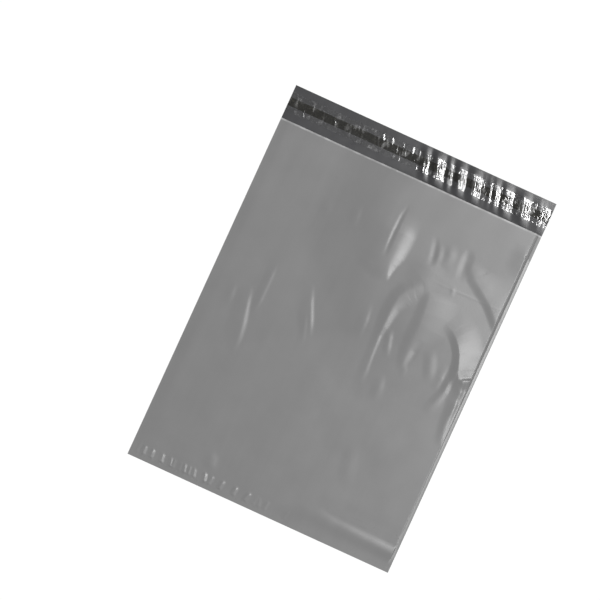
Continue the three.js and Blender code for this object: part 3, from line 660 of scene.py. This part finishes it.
class Nodes:
    """Short calls to build one node material."""

    def __init__(self, name):
        self.material = bpy.data.materials.new(name)
        self.material.use_nodes = True
        self.tree = self.material.node_tree
        self.tree.nodes.clear()
        self.output = self.tree.nodes.new("ShaderNodeOutputMaterial")
        self.coordinates = self.tree.nodes.new("ShaderNodeTexCoord").outputs["Object"]

    def node(self, kind, **values):
        """A node of this kind, with its own settings given by name."""
        made = self.tree.nodes.new(kind)
        for key, value in values.items():
            setattr(made, key, value)
        return made

    def put(self, socket, value):
        """Links a value that comes from another node, or sets a plain one."""
        if isinstance(value, bpy.types.NodeSocket):
            self.tree.links.new(value, socket)
        else:
            socket.default_value = value

    def mapped(self, scale):
        """The object's own coordinates, each times its scale."""
        mapping = self.node("ShaderNodeMapping")
        self.put(mapping.inputs["Vector"], self.coordinates)
        mapping.inputs["Scale"].default_value = scale
        return mapping.outputs["Vector"]

    def noise(self, scale, detail=3.0, roughness=0.5, stretch=(1, 1, 1), distortion=0.0):
        """Noise from 0 to 1. A stretch below 1 draws it out along that axis."""
        made = self.node("ShaderNodeTexNoise")
        self.put(made.inputs["Vector"], self.mapped(stretch))
        made.inputs["Scale"].default_value = scale
        made.inputs["Detail"].default_value = detail
        made.inputs["Roughness"].default_value = roughness
        made.inputs["Distortion"].default_value = distortion
        return made.outputs["Fac"]

    def span(self, value, source, result=(0.0, 1.0)):
        """Carries the source range over to the result range. Values past its ends stay at the ends."""
        made = self.node("ShaderNodeMapRange")
        self.put(made.inputs["Value"], value)
        for name, number in zip(("From Min", "From Max", "To Min", "To Max"), source + result):
            made.inputs[name].default_value = number
        return made.outputs["Result"]

    def maths(self, operation, a, b):
        made = self.node("ShaderNodeMath", operation=operation)
        self.put(made.inputs[0], a)
        self.put(made.inputs[1], b)
        return made.outputs[0]

    def blend(self, share, first, second):
        """The first colour where the share is 0, the second where it is 1."""
        made = self.node("ShaderNodeMix", data_type="RGBA")
        self.put(made.inputs["Factor"], share)
        self.put(made.inputs["A"], first)
        self.put(made.inputs["B"], second)
        return made.outputs["Result"]

    def bump(self, height, distance, strength, normal=None):
        made = self.node("ShaderNodeBump")
        made.inputs["Strength"].default_value = strength
        made.inputs["Distance"].default_value = distance
        self.put(made.inputs["Height"], height)
        if normal is not None:
            self.put(made.inputs["Normal"], normal)
        return made.outputs["Normal"]

    def principled(self, colour, roughness, normal, **plain):
        """The common surface. Its other settings are plain numbers, given by name."""
        shader = self.node("ShaderNodeBsdfPrincipled")
        self.put(shader.inputs["Base Color"], colour)
        self.put(shader.inputs["Roughness"], roughness)
        self.put(shader.inputs["Normal"], normal)
        for key, value in plain.items():
            shader.inputs[key.replace("_", " ")].default_value = value
        return shader.outputs["BSDF"]

    def mix(self, share, first, second):
        """The first shader where the share is 0, the second where it is 1."""
        made = self.node("ShaderNodeMixShader")
        self.put(made.inputs["Fac"], share)
        self.put(made.inputs[1], first)
        self.put(made.inputs[2], second)
        return made.outputs["Shader"]

    def finish(self, shader):
        """Makes the shader the material's surface."""
        self.tree.links.new(shader, self.output.inputs["Surface"])
        return self.material


def grey(level):
    return (level, level, level, 1.0)


# Noise lies mostly between these, so a span from them uses the whole of its result
MIDDLE_OF_NOISE = (0.3, 0.7)

# Tones of the grey outside, and of the painted highlight along the cut lip of the mouth
FILM_TONES = grey(0.168), grey(0.186)
LIP_HIGHLIGHT_TONE = grey(0.36)
MOUTH_Y = (POCKET_LENGTH - TOTAL_LENGTH / 2) * MM
LIP_HIGHLIGHT_WIDTH = 2.2 * MM

DARK_TONES = (0.034, 0.034, 0.036, 1), (0.045, 0.045, 0.048, 1)
GLUE_TONES = (0.009, 0.0085, 0.006, 1), (0.013, 0.012, 0.008, 1)
LINER_TINT = grey(0.985)

FILM_IOR = 1.5
GLUE_IOR = 1.48
LINER_IOR = 1.55


def grey_film():
    """Satin grey polyethylene: cloudy pigment, faint draw lines along the bag, fine grain, and a painted
    highlight in dashes along the lip of the mouth.
    """
    n = Nodes("grey_film")
    clouds = n.noise(16.0, detail=4.0, roughness=0.55)
    draw_lines = n.noise(55.0, roughness=0.6, stretch=(1.0, 0.05, 1.0))
    tone = n.maths("ADD", n.span(clouds, MIDDLE_OF_NOISE, (-0.5, 0.5)),
                   n.span(draw_lines, MIDDLE_OF_NOISE, (-0.3, 0.3)))
    colour = n.blend(n.span(tone, (-0.8, 0.8)), *FILM_TONES)
    roughness = n.span(n.noise(40.0), MIDDLE_OF_NOISE, (0.30, 0.36))
    # A painted highlight lies along the lip, in dashes
    place = n.node("ShaderNodeSeparateXYZ")
    n.put(place.inputs["Vector"], n.coordinates)
    lip_highlight = n.span(place.outputs["Y"], (MOUTH_Y - LIP_HIGHLIGHT_WIDTH, MOUTH_Y - LIP_HIGHLIGHT_WIDTH / 2))
    highlight_dashes = n.span(n.noise(75.0, detail=2.0, stretch=(1.0, 0.0, 0.0)), (0.42, 0.62), (0.35, 1.0))
    colour = n.blend(n.maths("MULTIPLY", lip_highlight, highlight_dashes), colour, LIP_HIGHLIGHT_TONE)
    grain = n.noise(900.0, detail=2.0, roughness=0.6)
    fine = n.bump(grain, distance=0.03 * MM, strength=0.5)
    normal = n.bump(draw_lines, distance=0.12 * MM, strength=0.35, normal=fine)
    return n.finish(n.principled(colour, roughness, normal, IOR=FILM_IOR))


def dark_film():
    """The inner side of the film: carbon black layer, glossier than the outside."""
    n = Nodes("dark_film")
    colour = n.blend(n.span(n.noise(22.0), MIDDLE_OF_NOISE), *DARK_TONES)
    roughness = n.span(n.noise(50.0), MIDDLE_OF_NOISE, (0.27, 0.36))
    soft = n.bump(n.noise(120.0, stretch=(1.0, 0.4, 1.0)), distance=0.2 * MM, strength=0.25)
    return n.finish(n.principled(colour, roughness, soft, IOR=FILM_IOR))


def hot_melt_glue():
    """Pale brown glue, dark over the black film, with drag marks along its run."""
    n = Nodes("hot_melt_glue")
    drag = n.noise(60.0, stretch=(0.15, 1.0, 1.0))
    colour = n.blend(n.span(drag, MIDDLE_OF_NOISE), *GLUE_TONES)
    roughness = n.span(n.noise(80.0, detail=2.0), MIDDLE_OF_NOISE, (0.35, 0.5))
    normal = n.bump(drag, distance=0.1 * MM, strength=0.3)
    return n.finish(n.principled(colour, roughness, normal, IOR=GLUE_IOR, Specular_IOR_Level=0.1))


def clear_liner():
    """Clear release film: mirror-like by its own gloss, otherwise seen through."""
    n = Nodes("clear_liner")
    crinkle = n.noise(420.0, roughness=0.55, stretch=(1.0, 0.45, 1.0), distortion=0.4)
    normal = n.bump(crinkle, distance=0.12 * MM, strength=0.6)
    smear = n.span(n.noise(90.0, detail=2.0), MIDDLE_OF_NOISE, (0.08, 0.16))
    haze = n.span(n.noise(130.0, detail=2.0, stretch=(1.0, 0.6, 1.0)), (0.53, 0.66), (0.0, 0.22))
    gloss = n.node("ShaderNodeBsdfAnisotropic")
    gloss.inputs["Color"].default_value = grey(1.0)
    n.put(gloss.inputs["Roughness"], n.maths("ADD", smear, haze))
    n.put(gloss.inputs["Normal"], normal)
    clear = n.node("ShaderNodeBsdfTransparent")
    clear.inputs["Color"].default_value = LINER_TINT
    mirror = n.node("ShaderNodeFresnel")
    mirror.inputs["IOR"].default_value = LINER_IOR
    n.put(mirror.inputs["Normal"], normal)
    return n.finish(n.mix(mirror.outputs["Fac"], clear.outputs["BSDF"], gloss.outputs["BSDF"]))


# Surroundings

FLOOR_SIDE = 30.0
FLOOR_DROP = 0.0002
FLOOR_TONE = grey(0.9)
FLOOR_GLOW = 0.75
WORLD_STRENGTH = 0.22

# The key is a long softbox high up on the bag's right. It lies KEY_HEADING round from the bag's +X, and is
# moved by KEY_SHIFT towards the foot of the bag. Its near edge is KEY_GAP beyond the spot, at the same
# height, that a flat flap would mirror to the camera at MIRROR_PLACE, just right of the flap's middle.
KEY_HEIGHT = 3.6
KEY_DEPTH = 1.3
KEY_LENGTH = 2.6
KEY_HEADING = math.radians(30)
KEY_SHIFT = 0.7
KEY_GAP = 0.6
KEY_RADIANCE = 14.0
MIRROR_PLACE = Vector((0.015, 0.197, 0.0))

# A weaker box low on the other side evens out the light
FILL_PLACE = Vector((-2.0, -1.5, 2.4))
FILL_SIDE = 1.6
FILL_RADIANCE = 5.0


def make_floor():
    """A wide pale floor. It glows for the camera alone, to which it shows nearly white."""
    n = Nodes("pale_floor")
    plain = n.node("ShaderNodeBsdfDiffuse")
    plain.inputs["Color"].default_value = FLOOR_TONE
    glow = n.node("ShaderNodeEmission")
    glow.inputs["Color"].default_value = grey(1.0)
    path = n.node("ShaderNodeLightPath")
    glowing = n.maths("MULTIPLY", path.outputs["Is Camera Ray"], FLOOR_GLOW)
    material = n.finish(n.mix(glowing, plain.outputs["BSDF"], glow.outputs["Emission"]))
    half = FLOOR_SIDE / 2
    corners = [(x, y, -FLOOR_DROP) for x, y in ((-half, -half), (half, -half), (half, half), (-half, half))]
    mesh = bpy.data.meshes.new("floor")
    mesh.from_pydata(corners, [], [(0, 1, 2, 3)])
    mesh.materials.append(material)
    floor = bpy.data.objects.new("floor", mesh)
    bpy.context.scene.collection.objects.link(floor)


def make_world():
    """A dim even room, which is plain white where the camera sees it."""
    world = bpy.data.worlds.new("soft_room")
    world.use_nodes = True
    tree = world.node_tree
    tree.nodes.clear()
    output = tree.nodes.new("ShaderNodeOutputWorld")
    room = tree.nodes.new("ShaderNodeBackground")
    room.inputs["Color"].default_value = grey(1.0)
    room.inputs["Strength"].default_value = WORLD_STRENGTH
    white = tree.nodes.new("ShaderNodeBackground")
    white.inputs["Color"].default_value = grey(1.0)
    white.inputs["Strength"].default_value = 1.0
    path = tree.nodes.new("ShaderNodeLightPath")
    mixed = tree.nodes.new("ShaderNodeMixShader")
    tree.links.new(path.outputs["Is Camera Ray"], mixed.inputs["Fac"])
    tree.links.new(room.outputs["Background"], mixed.inputs[1])
    tree.links.new(white.outputs["Background"], mixed.inputs[2])
    tree.links.new(mixed.outputs["Shader"], output.inputs["Surface"])
    bpy.context.scene.world = world


def softbox(name, place, turn, width, length, radiance):
    """A lamp that faces the bag. One of radiance L and area A gives out pi * L * A watts."""
    data = bpy.data.lights.new(name, "AREA")
    data.shape = "RECTANGLE"
    data.size = width
    data.size_y = length
    data.energy = math.pi * radiance * width * length
    outward = place.normalized()
    along = Vector((-math.sin(turn), math.cos(turn), 0.0))
    along = (along - outward * along.dot(outward)).normalized()
    across = along.cross(outward)
    lamp = bpy.data.objects.new(name, data)
    lamp.matrix_world = Matrix.Translation(place) @ Matrix((across, along, outward)).transposed().to_4x4()
    lamp.visible_camera = False
    bpy.context.scene.collection.objects.link(lamp)
    return lamp


def make_lights():
    """The key light, placed by what the flap mirrors to the camera, and the fill."""
    mirrored = MIRROR_PLACE + (MIRROR_PLACE - photo_middle()) * (KEY_HEIGHT / CAMERA_HEIGHT)
    heading = Vector((math.cos(KEY_HEADING), math.sin(KEY_HEADING), 0.0))
    sideways = Vector((heading.y, -heading.x, 0.0))
    place = mirrored + heading * (KEY_GAP + KEY_DEPTH / 2) + sideways * KEY_SHIFT
    place.z = KEY_HEIGHT
    softbox("key", place, KEY_HEADING, KEY_DEPTH, KEY_LENGTH, KEY_RADIANCE)
    fill = softbox("fill", FILL_PLACE, 0.0, FILL_SIDE, FILL_SIDE, FILL_RADIANCE)
    fill.visible_glossy = False


# Putting it together

make_camera()
film_piece = bag_film().build("mailer_film", [grey_film(), dark_film()])
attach(film_piece, "root")
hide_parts("bag_film")

glue_piece = glue_stripe().build("glue_stripe", [hot_melt_glue()])
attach(glue_piece, "root")
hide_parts("adhesive_strip")

liner_piece = liner().build("clear_liner_strip", [clear_liner()])
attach(liner_piece, "root")
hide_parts("release_liner")

make_floor()
make_world()
make_lights()
bpy.context.scene.view_settings.view_transform = "Standard"
